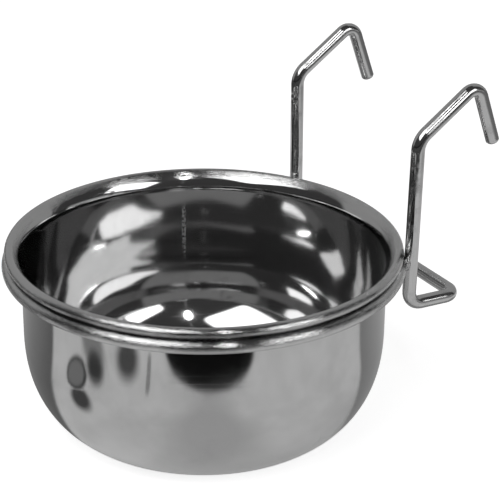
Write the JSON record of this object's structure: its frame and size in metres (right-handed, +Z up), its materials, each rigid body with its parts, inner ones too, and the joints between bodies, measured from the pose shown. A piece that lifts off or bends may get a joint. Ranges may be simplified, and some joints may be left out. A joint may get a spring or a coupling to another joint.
{
  "type": "hanging pet bowl",
  "caption": "Round polished steel cup with a flared lip and rolled bead that drops into a wire ring; a bent wire with hooks hangs the ring on a cage bar.",
  "frame": {"origin": "centre of the cage bar that the hooks go over, midway between the hooks", "axes": "+Z up with the cup's opening facing up; +Y through the cage side, away from the cup; +X along the cage bar"},
  "size_m": [0.1168, 0.1372, 0.1041],
  "materials": {
    "cup_steel": "mirror-polished stainless sheet",
    "wire_steel": "bright polished round wire",
    "weld_steel": "small bright resistance weld"
  },
  "bodies": {
    "holder": {"support_ring": "wire_steel", "hanger_wire": "wire_steel", "weld_left": "weld_steel", "weld_right": "weld_steel"},
    "cup": {"cup": "cup_steel"}
  },
  "joints": [
    {"name": "cup_lift", "type": "slide", "parent": "holder", "child": "cup", "axis": [0, 0, 1], "range_m": [0, 0.065]}
  ]
}
